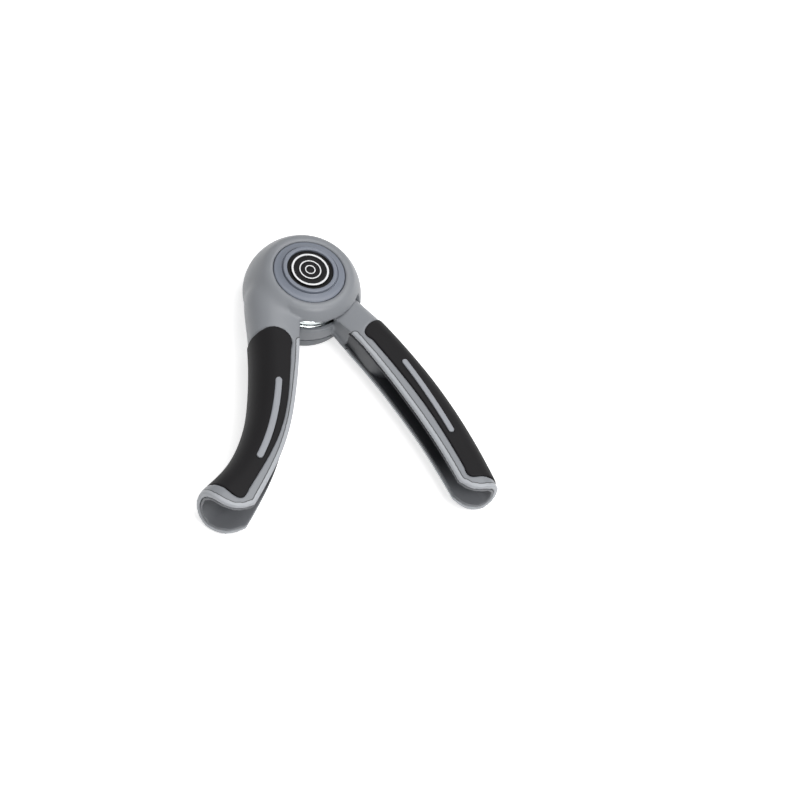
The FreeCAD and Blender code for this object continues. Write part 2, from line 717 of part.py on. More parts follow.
def lock_nut():
    low = NUT_SEAT_Z + NUT_WASHER_THICK
    corners = [polar(NUT_FLATS / math.sqrt(3), 60 * i, low) for i in range(7)]
    hexagon = Part.Face(Part.makePolygon(corners)).extrude(Vector(0, 0, NUT_THICK))
    return hexagon.cut(Part.makeCylinder(BOLT_R, 40, Vector(0, 0, 0)))


PALM_GRIP = dict(
    strip=[(0.0, 3.6), (0.4, 3.0), (0.75, 4.0), (1.0, 5.0)],
    head_peak=8.0, head_inner=17.0, head_outer=12.5,
    end_inner=89.5, end_peak=96.0, end_dip=96.0,
)
PALM_STRIPE = dict(first=34.5, last=73.2, offset_first=-1.0, offset_last=-1.2, half_wide=1.35)
FINGER_GRIP = dict(
    strip=[(0.0, 4.3), (0.5, 4.8), (1.0, 4.3)],
    head_peak=10.6, head_inner=17.0, head_outer=11.0,
    end_inner=87.0, end_peak=92.0, end_dip=94.5,
)
FINGER_STRIPE = dict(first=33.0, last=69.0, offset_first=0.5, offset_last=-0.6, half_wide=1.15)


def build():
    """Every sub-part by its node name."""
    parts = {}
    outer, grip, stripes, liner = handle_parts(palm, PALM_GRIP, PALM_STRIPE)
    palm_clip = leg_clip(palm, PALM_LEG_END, PALM_LEG_Z, PALM_CLIP_LONG)
    parts["palm_shell"] = palm_shell(outer, grip)
    parts["palm_grip"] = grip.cut(stripes)
    parts["palm_stripes"] = stripes
    parts["palm_liner"] = liner.cut(leg_room(palm, PALM_LEG_END, PALM_LEG_Z))
    parts["palm_leg_clip"] = palm_clip
    outer, grip, stripes, liner = handle_parts(finger, FINGER_GRIP, FINGER_STRIPE)
    parts["finger_shell"] = finger_shell(outer, grip)
    parts["finger_grip"] = grip.cut(stripes)
    parts["finger_stripes"] = stripes
    parts["finger_liner"] = liner.cut(leg_room(finger, FINGER_LEG_END, FINGER_LEG_Z))
    finger_clip = leg_clip(finger, FINGER_LEG_END, FINGER_LEG_Z, FINGER_CLIP_LONG)
    parts["finger_leg_clip"] = finger_clip.cut(parts["finger_liner"])
    parts["head_cap"] = head_cap()
    well_floor = TOP_Z - BADGE_WELL_DEEP
    parts["badge_ring"] = tube(BADGE_R, BADGE_RING_R, well_floor, well_floor + BADGE_RING_HIGH)
    parts["badge_disc"] = badge_disc()
    parts["bottom_cover"] = bottom_cover()
    parts["bottom_cap"] = Part.makeCylinder(BOLT_WELL_R - BOTTOM_CAP_GAP, BOTTOM_CAP_THICK)
    parts["pivot_bolt"] = pivot_bolt()
    parts["lock_nut"] = lock_nut()
    parts["nut_washer"] = tube(BOLT_HOLE_R, NUT_FLATS / 2, NUT_SEAT_Z, NUT_SEAT_Z + NUT_WASHER_THICK)
    parts["lower_washer"] = tube(BOLT_HOLE_R, WASHER_R, LOWER_WASHER_Z, LOWER_WASHER_Z + WASHER_THICK)
    upper_z = SLEEVE_TOP_Z + THRUST_GAP
    parts["upper_washer"] = tube(BOLT_HOLE_R, WASHER_R, upper_z, upper_z + WASHER_THICK)
    parts["hub_bush"] = tube(BOLT_HOLE_R, BUSH_R, HUB_LOW_Z, SLEEVE_TOP_Z)
    spool_r = COIL_R - WIRE_D / 2 - SPOOL_GAP
    parts["spring_spool"] = tube(SLEEVE_R, spool_r, HUB_FLOOR_TOP_Z, SLEEVE_TOP_Z - 0.2)
    parts["torsion_spring"] = torsion_spring()
    return parts


os.makedirs("parts", exist_ok=True)
for name, shape in build().items():
    box = shape.BoundBox
    print(name, "solids", len(shape.Solids), "valid", shape.isValid(), "volume", round(shape.Volume, 1),
          "box", [round(v, 1) for v in (box.XMin, box.YMin, box.ZMin, box.XMax, box.YMax, box.ZMax)])
    shape.exportStep("parts/" + name + ".step")
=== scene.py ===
import math

import bmesh
import bpy
from mathutils import Matrix, Vector
from mathutils.bvhtree import BVHTree
from mathutils.kdtree import KDTree


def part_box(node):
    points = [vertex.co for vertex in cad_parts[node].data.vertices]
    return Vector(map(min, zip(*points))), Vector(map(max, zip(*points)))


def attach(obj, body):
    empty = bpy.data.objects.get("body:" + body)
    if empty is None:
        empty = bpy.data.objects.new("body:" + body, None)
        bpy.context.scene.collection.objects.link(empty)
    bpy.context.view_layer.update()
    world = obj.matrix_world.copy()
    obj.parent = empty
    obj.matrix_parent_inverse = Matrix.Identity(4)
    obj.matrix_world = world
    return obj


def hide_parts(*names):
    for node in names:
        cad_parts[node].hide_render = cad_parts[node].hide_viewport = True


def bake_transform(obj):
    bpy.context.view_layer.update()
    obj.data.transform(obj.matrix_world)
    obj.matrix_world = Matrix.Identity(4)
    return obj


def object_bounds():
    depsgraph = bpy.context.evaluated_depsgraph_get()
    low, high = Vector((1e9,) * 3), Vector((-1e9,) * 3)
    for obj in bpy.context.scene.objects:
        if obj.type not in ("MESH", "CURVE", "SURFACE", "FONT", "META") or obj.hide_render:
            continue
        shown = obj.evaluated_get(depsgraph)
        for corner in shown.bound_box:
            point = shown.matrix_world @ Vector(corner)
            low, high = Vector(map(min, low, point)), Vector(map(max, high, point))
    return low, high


# Hand grip strengthener: a palm handle with a round head, and a finger handle that turns in the head.
# Lengths are metres. The frame is the CAD's: pivot on +Z, rest face at z = 0, handles towards -Y.

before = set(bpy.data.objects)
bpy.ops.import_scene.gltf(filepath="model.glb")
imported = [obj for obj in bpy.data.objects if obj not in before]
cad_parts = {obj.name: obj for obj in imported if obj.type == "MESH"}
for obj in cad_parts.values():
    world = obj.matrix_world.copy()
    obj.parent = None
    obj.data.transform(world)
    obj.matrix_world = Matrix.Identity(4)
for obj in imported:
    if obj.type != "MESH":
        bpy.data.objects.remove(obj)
cad_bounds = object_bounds()

MM = 0.001
PALM_BODY = "palm_side"
FINGER_BODY = "finger_side"

# The two handles
REST_ANGLE = math.radians(43.5)
PALM_RAY = -math.pi / 2 - REST_ANGLE / 2
FINGER_RAY = -math.pi / 2 + REST_ANGLE / 2
PALM_OUTER_SIDE = -1
FINGER_OUTER_SIDE = 1

# Torsion spring
WIRE_R = 1.5 * MM
COIL_R = 16.6 * MM
FULL_TURNS = 2
PALM_LEG_END = (36.0 * MM, 12.6 * MM)
FINGER_LEG_END = (42.0 * MM, 3.4 * MM)
COIL_STEP = math.radians(4)
LEG_STEPS = 12

# Head
TOP_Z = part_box("head_cap")[1].z
CAP_LOW_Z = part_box("head_cap")[0].z
CAP_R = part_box("head_cap")[1].x
BADGE_LOW_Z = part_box("badge_disc")[0].z
BADGE_TOP_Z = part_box("badge_disc")[1].z
BADGE_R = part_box("badge_disc")[1].x
BEZEL_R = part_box("badge_ring")[1].x
BEZEL_TOP_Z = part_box("badge_ring")[1].z
COVER_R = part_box("bottom_cover")[1].x
COVER_TOP_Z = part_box("bottom_cover")[1].z
PLUG_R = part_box("bottom_cap")[1].x
PLUG_TOP_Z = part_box("bottom_cap")[1].z

# Mesh detail
CASE_GRAIN = 0.48 * MM
SOFT_GRAIN = 0.42 * MM
STRIPE_GRAIN = 0.22 * MM
LATHE_STEPS = 160
FILLET_STEPS = 4
CREASE = math.radians(32)
MOULDED_CREASE = math.radians(60)
WIRE_CREASE = math.radians(50)
WIRE_SIDES = 28
AXIS_NEAR = 1e-7
MERGE = 0.002 * MM
LATHE_MERGE = 0.0005 * MM

# Camera: straight-on view that shows 320 mm across the picture
VIEW_WIDTH = 0.32
VIEW_AZIMUTH = math.radians(-31.75)
VIEW_ELEVATION = math.radians(52.5)
VIEW_ROLL = math.radians(20)
BADGE_LEFT_OF_CENTRE = 35.8 * MM
BADGE_ABOVE_CENTRE = 52.4 * MM
CAMERA_DISTANCE = 0.8


def linear(value):
    """Linear value of one 0 to 255 screen channel."""
    share = value / 255
    return share / 12.92 if share <= 0.04045 else ((share + 0.055) / 1.055) ** 2.4


def screen(red, green, blue):
    return (linear(red), linear(green), linear(blue), 1.0)


# Materials

# Painted highlight on the lip along the open edge of a handle, and the dark parting line beside it, as shares
# of EDGE_REACH. The lip's lighter tone stands in for light on its upward face.
EDGE_REACH = 3.0 * MM
EDGE_STRIP = 0.5
EDGE_LINE = 0.36
EDGE_BLUR = 0.03
PARTING_TONE = 0.25


def band(nodes, links, share, stops):
    """Grey level that follows a share through (position, level) stops."""
    ramp = nodes.new("ShaderNodeValToRGB")
    elements = ramp.color_ramp.elements
    while len(elements) < len(stops):
        elements.new(0.5)
    for element, (position, level) in zip(elements, stops):
        element.position = position
        element.color = (level, level, level, 1)
    links.new(share, ramp.inputs["Fac"])
    return ramp.outputs["Color"]


def paint_lip_highlight_and_parting_line(material, base, strip):
    """Paints a highlight onto the lip strip that edge_share marks, and draws the parting line beside it."""
    nodes = material.node_tree.nodes
    links = material.node_tree.links
    shader = nodes["Principled BSDF"]
    share = nodes.new("ShaderNodeAttribute")
    share.attribute_name = "edge_share"
    light = band(nodes, links, share.outputs["Fac"],
                 ((0, 0), (EDGE_STRIP - EDGE_BLUR, 0), (EDGE_STRIP, 1)))
    line = band(nodes, links, share.outputs["Fac"],
                ((EDGE_LINE - EDGE_BLUR, 0), (EDGE_LINE, 1), (EDGE_STRIP - EDGE_BLUR, 1), (EDGE_STRIP, 0)))
    colour = shader.inputs["Base Color"].links[0].from_socket
    for mask, target in ((light, strip), (line, [channel * PARTING_TONE for channel in base[:3]] + [1])):
        tint = nodes.new("ShaderNodeMix")
        tint.data_type = "RGBA"
        tint.inputs[7].default_value = target
        links.new(mask, tint.inputs["Factor"])
        links.new(colour, tint.inputs[6])
        colour = tint.outputs[2]
    links.new(colour, shader.inputs["Base Color"])


# Distances from the pivot between which the lining goes from painted channel shade to its own tone at the
# mouth
MOUTH_FROM = 92 * MM
MOUTH_FULL = 104 * MM


def paint_channel_shade(material, dark):
    """Paints shade into the finish: fades it to a dark tone nearer the pivot than the channel's mouth, where
    the channel lies in shade.
    """
    nodes = material.node_tree.nodes
    links = material.node_tree.links
    shader = nodes["Principled BSDF"]
    place = nodes.new("ShaderNodeTexCoord")
    reach = nodes.new("ShaderNodeVectorMath")
    reach.operation = "LENGTH"
    share = nodes.new("ShaderNodeMapRange")
    share.inputs["From Min"].default_value = MOUTH_FROM
    share.inputs["From Max"].default_value = MOUTH_FULL
    tint = nodes.new("ShaderNodeMix")
    tint.data_type = "RGBA"
    tint.inputs[6].default_value = dark
    links.new(place.outputs["Object"], reach.inputs[0])
    links.new(reach.outputs["Value"], share.inputs["Value"])
    links.new(share.outputs["Result"], tint.inputs["Factor"])
    links.new(shader.inputs["Base Color"].links[0].from_socket, tint.inputs[7])
    links.new(tint.outputs[2], shader.inputs["Base Color"])


CLOUD_SCALE = 90
CLOUD_DETAIL = 4
GRAIN_DETAIL = 2
GRAIN_DEPTH = 0.1 * MM


def surface(name, colour, roughness, metallic=0.0, grain_mm=0.0, grain_height=0.0, mottle=0.0,
            specular=0.5):
    """A finish with a fine moulded grain and a slight unevenness of tone."""
    material = bpy.data.materials.new(name)
    material.use_nodes = True
    nodes = material.node_tree.nodes
    links = material.node_tree.links
    shader = nodes["Principled BSDF"]
    shader.inputs["Base Color"].default_value = colour
    shader.inputs["Roughness"].default_value = roughness
    shader.inputs["Metallic"].default_value = metallic
    shader.inputs["Specular IOR Level"].default_value = specular
    place = nodes.new("ShaderNodeTexCoord")
    if mottle:
        cloud = nodes.new("ShaderNodeTexNoise")
        cloud.inputs["Scale"].default_value = CLOUD_SCALE
        cloud.inputs["Detail"].default_value = CLOUD_DETAIL
        tone = nodes.new("ShaderNodeMix")
        tone.data_type = "RGBA"
        tone.inputs[6].default_value = [channel * (1 - mottle) for channel in colour[:3]] + [1]
        tone.inputs[7].default_value = [min(1, channel * (1 + mottle)) for channel in colour[:3]] + [1]
        links.new(place.outputs["Object"], cloud.inputs["Vector"])
        links.new(cloud.outputs["Fac"], tone.inputs["Factor"])
        links.new(tone.outputs[2], shader.inputs["Base Color"])
    if grain_mm:
        grain = nodes.new("ShaderNodeTexNoise")
        grain.inputs["Scale"].default_value = 1 / (grain_mm * MM)
        grain.inputs["Detail"].default_value = GRAIN_DETAIL
        bump = nodes.new("ShaderNodeBump")
        bump.inputs["Strength"].default_value = grain_height
        bump.inputs["Distance"].default_value = GRAIN_DEPTH
        links.new(place.outputs["Object"], grain.inputs["Vector"])
        links.new(grain.outputs["Fac"], bump.inputs["Height"])
        links.new(bump.outputs["Normal"], shader.inputs["Normal"])
    return material


CASE_TONE = screen(136, 139, 144)
# Painted highlight: the lip is the case's grey, drawn lighter as if lit on its upward face
LIP_PAINTED_HIGHLIGHT = screen(176, 179, 184)
# Painted shade: the dark tone that the lining takes deep in a channel, where the channel lies in shade
CHANNEL_PAINTED_SHADE = screen(54, 55, 59)

case_grey_painted_lip_highlight = surface("case_grey_painted_lip_highlight", CASE_TONE, 0.4, grain_mm=0.5, grain_height=0.1, mottle=0.03)
paint_lip_highlight_and_parting_line(case_grey_painted_lip_highlight, CASE_TONE, LIP_PAINTED_HIGHLIGHT)
cap_grey = surface("cap_blue_grey", screen(122, 128, 140), 0.36, grain_mm=0.5, grain_height=0.08,
                   mottle=0.02)
soft_black = surface("soft_black_rubber", screen(20, 19, 21), 0.6, grain_mm=0.6, grain_height=0.3,
                     mottle=0.12, specular=0.18)
stripe_grey = surface("stripe_grey", screen(150, 153, 159), 0.4, grain_mm=0.5, grain_height=0.08)
lining_grey_painted_shade = surface("lining_grey_painted_shade", screen(112, 114, 118), 0.45, grain_mm=0.7, grain_height=0.12,
                      mottle=0.04)
# Painted shade: the lining darkens towards the pivot, deep in the channel
paint_channel_shade(lining_grey_painted_shade, CHANNEL_PAINTED_SHADE)
# Painted shade: the leg holder's dark grey stands in for the shade of the channel around it
holder_painted_shade = surface("holder_painted_shade", screen(72, 74, 78), 0.45, grain_mm=0.6, grain_height=0.1, mottle=0.03)
cover_grey = surface("cover_grey", screen(112, 116, 120), 0.4, grain_mm=0.5, grain_height=0.1, mottle=0.03)
gloss_black = surface("gloss_black", screen(9, 9, 10), 0.3, grain_mm=0.6, grain_height=0.04, specular=0.12)
badge_dark = surface("badge_dark", screen(17, 17, 19), 0.3, grain_mm=0.6, grain_height=0.05, specular=0.12)
badge_white = surface("badge_white", screen(236, 237, 239), 0.35, grain_mm=0.6, grain_height=0.04)
dull_black = surface("dull_black", screen(34, 34, 36), 0.5, grain_mm=0.6, grain_height=0.12, mottle=0.06)
bright_chrome = surface("bright_chrome", screen(226, 232, 233), 0.1, metallic=1.0, mottle=0.02)
zinc_steel = surface("zinc_steel", screen(190, 192, 194), 0.32, metallic=1.0, grain_mm=0.3, grain_height=0.06,
                     mottle=0.05)
slip_plastic = surface("slip_plastic", screen(212, 210, 202), 0.45, grain_mm=0.5, grain_height=0.06,
                       mottle=0.03)
bush_brass = surface("bush_brass", screen(190, 158, 92), 0.3, metallic=1.0, grain_mm=0.3, grain_height=0.05,
                     mottle=0.06)


# Meshes

def new_object(name, mesh):
    obj = bpy.data.objects.new(name, mesh)
    bpy.context.scene.collection.objects.link(obj)
    return obj


def shade(mesh, crease=CREASE):
    mesh.shade_smooth()
    mesh.set_sharp_from_angle(angle=crease)


def finished(obj):
    """The object's mesh with its modifiers worked in."""
    bpy.context.view_layer.update()
    evaluated = obj.evaluated_get(bpy.context.evaluated_depsgraph_get())
    mesh = bpy.data.meshes.new_from_object(evaluated)
    obj.modifiers.clear()
    result = new_object(obj.name + "_done", mesh)
    name = obj.name
    bpy.data.objects.remove(obj)
    result.name = name
    return result


def fit_out(obj, body, material, slot, *nodes):
    """Gives a piece its finish, lets it ride on its body and stand for its CAD nodes."""
    obj.data.materials.clear()
    obj.data.materials.append(material)
    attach(obj, body)
    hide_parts(*nodes)
    return obj


def merged_copy(name, node):
    """Copy of a CAD node with its loose triangles joined."""
    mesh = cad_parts[node].data.copy()
    work = bmesh.new()
    work.from_mesh(mesh)
    bmesh.ops.remove_doubles(work, verts=work.verts, dist=MERGE)
    work.to_mesh(mesh)
    work.free()
    return new_object(name, mesh)


def moulded(name, node, grain, passes, flow=None):
    """The node as an even skin whose edges are slightly rounded, as moulding leaves them.

    flow(point) gives from 0 to 1 how far the skin flows smoothly there instead of keeping its corners."""
    obj = merged_copy(name, node)
    skin = obj.modifiers.new("skin", "REMESH")
    skin.mode = "VOXEL"
    skin.voxel_size = grain
    obj = finished(obj)
    if flow:
        group = obj.vertex_groups.new(name="flow")
        for vertex in obj.data.vertices:
            weight = flow(vertex.co)
            if weight > 0:
                group.add([vertex.index], weight, "REPLACE")
        ease = obj.modifiers.new("ease", "SMOOTH")
        ease.factor = 0.5
        ease.iterations = FLOW_PASSES
        ease.vertex_group = "flow"
    edges = obj.modifiers.new("edges", "SMOOTH")
    edges.factor = 0.5
    edges.iterations = passes
    obj = finished(obj)
    obj.vertex_groups.clear()
    shade(obj.data, MOULDED_CREASE)
    return obj


def rounded(corners, radius):
    """Closed outline with every corner off the axis rounded by an arc."""
    outline = []
    count = len(corners)
    for i, corner in enumerate(corners):
        here = Vector(corner)
        before = Vector(corners[i - 1]) - here
        after = Vector(corners[(i + 1) % count]) - here
        if here.x < AXIS_NEAR:
            outline.append(here)
            continue
        cut = min(radius, before.length * 0.45, after.length * 0.45)
        start = here + before.normalized() * cut
        end = here + after.normalized() * cut
        for step in range(FILLET_STEPS + 1):
            t = step / FILLET_STEPS
            outline.append(start * (1 - t) ** 2 + here * 2 * t * (1 - t) + end * t * t)
    return outline


def lathe(name, corners, radius):
    """Turned piece from a closed outline of (radius, height) corners."""
    outline = rounded(corners, radius)
    work = bmesh.new()
    loop = [work.verts.new((p.x, 0, p.y)) for p in outline]
    edges = [work.edges.new((a, b)) for a, b in zip(loop, loop[1:] + loop[:1])
             if max(a.co.x, b.co.x) > AXIS_NEAR]
    bmesh.ops.spin(work, geom=loop + edges, cent=(0, 0, 0), axis=(0, 0, 1), angle=math.tau,
                   steps=LATHE_STEPS, use_merge=True)
    bmesh.ops.remove_doubles(work, verts=work.verts, dist=LATHE_MERGE)
    bmesh.ops.recalc_face_normals(work, faces=work.faces)
    mesh = bpy.data.meshes.new(name)
    work.to_mesh(mesh)
    work.free()
    shade(mesh)
    return new_object(name, mesh)


def handle_point(ray, side, along, across, z):
    c = math.cos(ray)
    s = math.sin(ray)
    return Vector((along * c - side * across * s, along * s + side * across * c, z))


def surface_of(node):
    """The node's skin, for measuring how far points lie from it."""
    work = bmesh.new()
    work.from_mesh(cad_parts[node].data)
    skin = BVHTree.FromBMesh(work)
    work.free()
    return skin


def along_and_across(point, ray, side):
    """Where a point lies from the pivot, along a handle's ray and across it to its outer side."""
    along = point.x * math.cos(ray) + point.y * math.sin(ray)
    across = side * (point.y * math.cos(ray) - point.x * math.sin(ray))
    return along, across


# What tells a case's open rim from the rest of its skin
RIM_GAPS = (1.3 * MM, 2.0 * MM)
POCKET_GAP = 1.2 * MM
RIM_FROM = 31.5 * MM
NEAR_HEAD = 45 * MM
OPEN_HALF = 5.5 * MM


def may_be_rim(point, ray, side):
    """False where the liner's end or the flow from the head could pass for the rim."""
    along, across = along_and_across(point, ray, side)
    return point.xy.length > RIM_FROM and (along > NEAR_HEAD or across < OPEN_HALF)


def mark_edge(case, ray, side, liner_node, grip_node):
    """Stores how near the case's skin lies to its open rim, from 0 at EDGE_REACH to 1 on the rim.

    The rim lies at a RIM_GAPS distance from the liner. So does the grip's pocket, which is left out."""
    liner = surface_of(liner_node)
    grip = surface_of(grip_node)
    rim = [v.co for v in case.data.vertices
           if RIM_GAPS[0] < liner.find_nearest(v.co)[3] < RIM_GAPS[1]
           and grip.find_nearest(v.co)[3] > POCKET_GAP
           and may_be_rim(v.co, ray, side)]
    tree = KDTree(len(rim))
    for i, point in enumerate(rim):
        tree.insert(point, i)
    tree.balance()
    share = case.data.attributes.new("edge_share", "FLOAT", "POINT")
    for vertex, value in zip(case.data.vertices, share.data):
        value.value = max(0.0, 1 - tree.find(vertex.co)[2] / EDGE_REACH)


# Smooth run of the round head into the palm handle

FLOW_PASSES = 170
FLOW_FROM = -9 * MM
FLOW_TO = 33 * MM
FLOW_FADE = 7 * MM
FLOW_INNER_EDGE = 5.5 * MM
CAP_CLEAR = 1.2 * MM
CAP_FADE = 3 * MM


def head_to_handle(point):
    """Full where the round head runs into the outer half of the palm handle."""
    along, across = along_and_across(point, PALM_RAY, PALM_OUTER_SIDE)
    fade_in = (along - FLOW_FROM) / FLOW_FADE
    fade_out = (FLOW_TO - along) / FLOW_FADE
    off_rim = (across - FLOW_INNER_EDGE) / (FLOW_FADE / 2)
    outside_cap = (math.hypot(point.x, point.y) - CAP_R - CAP_CLEAR) / CAP_FADE
    return max(0.0, min(1.0, fade_in, fade_out, off_rim, outside_cap))


# The two handles' skins

CASE_PASSES = 3
GRIP_PASSES = 3
STRIPE_PASSES = 2
LINER_PASSES = 2


def make_handle(hand, body, ray, side, flow=None):
    """Case, soft grip, stripes and lining of the palm or the finger handle."""
    case = moulded(f"{hand}_case", f"{hand}_shell", CASE_GRAIN, CASE_PASSES, flow)
    mark_edge(case, ray, side, f"{hand}_liner", f"{hand}_grip")
    fit_out(case, body, case_grey_painted_lip_highlight, "shell", f"{hand}_shell")
    grip = moulded(f"{hand}_soft_grip", f"{hand}_grip", SOFT_GRAIN, GRIP_PASSES)
    fit_out(grip, body, soft_black, "grip", f"{hand}_grip")
    stripes = moulded(f"{hand}_stripe_bars", f"{hand}_stripes", STRIPE_GRAIN, STRIPE_PASSES)
    fit_out(stripes, body, stripe_grey, "stripe", f"{hand}_stripes")
    lining = moulded(f"{hand}_lining", f"{hand}_liner", SOFT_GRAIN, LINER_PASSES)
    fit_out(lining, body, lining_grey_painted_shade, "liner", f"{hand}_liner")


# Wall in the finger handle's channel that holds the end of the spring's leg and hides it.
# Each row is distance from the pivot, distance across, thickness, and lowest and highest z.
HOLDER_ROWS = (
    (28.9, 1.25, 1.3, 9.1, 17.0),
    (33.0, 1.4, 1.1, 8.8, 17.8),
    (38.0, 1.15, 0.7, 8.7, 17.9),
    (43.5, 1.2, 0.65, 8.7, 17.9),
    (46.0, 1.9, 0.9, 8.8, 17.8),
    (48.5, 3.8, 1.0, 8.9, 17.7),
    (51.0, 7.0, 1.0, 9.2, 17.4),
    (53.0, 10.0, 1.0, 10.0, 16.6),
    (55.0, 12.4, 0.9, 11.0, 15.6),
)
HOLDER_STEPS = 6


def eased(rows, steps):
    """Rows on a smooth line through the given ones."""
    result = []
    for i in range(len(rows) - 1):
        four = [Vector(rows[min(max(i + k, 0), len(rows) - 1)]) for k in (-1, 0, 1, 2)]
        for step in range(steps):
            t = step / steps
            result.append(0.5 * (2 * four[1] + (four[2] - four[0]) * t
                                 + (2 * four[0] - 5 * four[1] + 4 * four[2] - four[3]) * t ** 2
                                 + (3 * four[1] - four[0] - 3 * four[2] + four[3]) * t ** 3))
    return result + [Vector(rows[-1])]


def make_leg_holder():
    rows = eased(HOLDER_ROWS, HOLDER_STEPS)
    work = bmesh.new()
    rings = []
    for i, row in enumerate(rows):
        before = rows[max(i - 1, 0)]
        after = rows[min(i + 1, len(rows) - 1)]
        way = Vector((after[0] - before[0], after[1] - before[1])).normalized()
        front = Vector((row[0], row[1]))
        back = front + Vector((-way.y, way.x)) * row[2]
        corners = ((front, row[3]), (front, row[4]), (back, row[4]), (back, row[3]))
        places = [handle_point(FINGER_RAY, FINGER_OUTER_SIDE, p.x * MM, p.y * MM, z * MM)
                  for p, z in corners]
        rings.append([work.verts.new(place) for place in places])
    for ring, after in zip(rings, rings[1:]):
        for k in range(4):
            work.faces.new((ring[k], ring[(k + 1) % 4], after[(k + 1) % 4], after[k]))
    work.faces.new(rings[0])
    work.faces.new(rings[-1])
    bmesh.ops.recalc_face_normals(work, faces=work.faces)
    mesh = bpy.data.meshes.new("finger_leg_holder")
    work.to_mesh(mesh)
    work.free()
    shade(mesh)
    holder = new_object("finger_leg_holder", mesh)
    fit_out(holder, FINGER_BODY, holder_painted_shade, "clip", "finger_leg_clip")


# Head cap, badge and the cover underneath

RIM_TOP_Z = CAP_LOW_Z + 2.1 * MM
DISH_TOP_Z = RIM_TOP_Z + 1.0 * MM
GROOVE_R = 11.4 * MM
GROOVE_WIDE = 0.55 * MM
GROOVE_DEEP = 0.6 * MM
WELL_R = 9.5 * MM
NUT_ROOM_R = 9.3 * MM
CAP_FLOOR = 0.55 * MM
DISH_STEPS = 10
DISH_HOLLOW = 1.5
DISH_EDGE = 0.5 * MM
CAP_SIDE_DROP = 0.25 * MM
CAP_ROUND = 0.3 * MM
BEZEL_ROUND = 0.15 * MM
BADGE_ROUND = 0.05 * MM
# Each badge ring's middle as a share of the badge's radius, and its width
BADGE_RINGS = ((0.91, 0.8 * MM), (0.53, 0.5 * MM), (0.24, 0.45 * MM))
BADGE_GROOVE_DEEP = 0.22 * MM
RING_PROUD = 0.05 * MM
RING_ROUND = 0.06 * MM


def dish_profile():
    """Hollow sweep from the cap's rim up to the groove."""
    outer = CAP_R - DISH_EDGE
    inner = GROOVE_R + GROOVE_WIDE / 2
    points = []
    for step in range(DISH_STEPS + 1):
        share = step / DISH_STEPS
        lift = share ** DISH_HOLLOW
        points.append((outer + (inner - outer) * share, RIM_TOP_Z + (DISH_TOP_Z - RIM_TOP_Z) * lift))
    return points


def make_head_cap():
    groove_in = GROOVE_R - GROOVE_WIDE / 2
    groove_out = GROOVE_R + GROOVE_WIDE / 2
    corners = [
        (0, BADGE_LOW_Z - CAP_FLOOR),
        (NUT_ROOM_R, BADGE_LOW_Z - CAP_FLOOR),
        (NUT_ROOM_R, CAP_LOW_Z),
        (CAP_R, CAP_LOW_Z),
        (CAP_R, RIM_TOP_Z - CAP_SIDE_DROP),
        *dish_profile(),
        (groove_out, DISH_TOP_Z - GROOVE_DEEP),
        (groove_in, DISH_TOP_Z - GROOVE_DEEP),
        (groove_in, TOP_Z),
        (WELL_R, TOP_Z),
        (WELL_R, BADGE_LOW_Z),
        (0, BADGE_LOW_Z),
    ]
    fit_out(lathe("head_dish", corners, CAP_ROUND), PALM_BODY, cap_grey, "cap", "head_cap")


def make_badge():
    bezel = [(BADGE_R, BADGE_LOW_Z), (BEZEL_R, BADGE_LOW_Z), (BEZEL_R, BEZEL_TOP_Z), (BADGE_R, BEZEL_TOP_Z)]
    fit_out(lathe("badge_bezel", bezel, BEZEL_ROUND), PALM_BODY, gloss_black, "badge_ring", "badge_ring")
    corners = [(0, BADGE_LOW_Z), (BADGE_R, BADGE_LOW_Z), (BADGE_R, BADGE_TOP_Z)]
    low = BADGE_TOP_Z - BADGE_GROOVE_DEEP
    for number, (share, wide) in enumerate(BADGE_RINGS):
        outer = BADGE_R * share + wide / 2
        inner = outer - wide
        corners += [(outer, BADGE_TOP_Z), (outer, low), (inner, low), (inner, BADGE_TOP_Z)]
        top = BADGE_TOP_Z + RING_PROUD
        section = [(inner, low), (outer, low), (outer, top), (inner, top)]
        ring = lathe(f"badge_ring_{number}", section, RING_ROUND)
        ring.data.materials.append(badge_white)
        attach(ring, PALM_BODY)
    corners.append((0, BADGE_TOP_Z))
    fit_out(lathe("badge_button", corners, BADGE_ROUND), PALM_BODY, badge_dark, "badge", "badge_disc")


COVER_STEP_R = 19.9 * MM
COVER_STEP_Z = 3.0 * MM
COVER_CHAMFER = 1.3 * MM
COVER_WALL = 1.3 * MM
COVER_FLOOR = 1.7 * MM
BOLT_HOLE_R = 4.05 * MM
WELL_TOP_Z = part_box("pivot_bolt")[0].z + 1.4 * MM
WELL_ROOF_Z = WELL_TOP_Z + 1.2 * MM
BOLT_WELL_R = 11.0 * MM
COVER_ROUND = 0.35 * MM
PLUG_ROUND = 0.25 * MM


def make_under_cover():
    corners = [
        (BOLT_WELL_R, 0),
        (COVER_STEP_R - COVER_CHAMFER, 0),
        (COVER_STEP_R, COVER_CHAMFER),
        (COVER_STEP_R, COVER_STEP_Z),
        (COVER_R, COVER_STEP_Z),
        (COVER_R, COVER_TOP_Z),
        (COVER_R - COVER_WALL, COVER_TOP_Z),
        (COVER_R - COVER_WALL, COVER_FLOOR),
        (BOLT_WELL_R + COVER_FLOOR, COVER_FLOOR),
        (BOLT_WELL_R + COVER_FLOOR, WELL_ROOF_Z),
        (BOLT_HOLE_R, WELL_ROOF_Z),
        (BOLT_HOLE_R, WELL_TOP_Z),
        (BOLT_WELL_R, WELL_TOP_Z),
    ]
    fit_out(lathe("under_cup", corners, COVER_ROUND), PALM_BODY, cover_grey, "cover", "bottom_cover")
    plug = [(0, 0), (PLUG_R, 0), (PLUG_R, PLUG_TOP_Z), (0, PLUG_TOP_Z)]
    fit_out(lathe("under_plug", plug, PLUG_ROUND), PALM_BODY, cap_grey, "cover", "bottom_cap")


# Torsion spring

def leg_touch(ray, side, end):
    """Direction where a straight leg to its end leaves the coil."""
    local = math.atan2(end[1], end[0]) + math.acos(COIL_R / math.hypot(end[0], end[1]))
    return ray + side * local


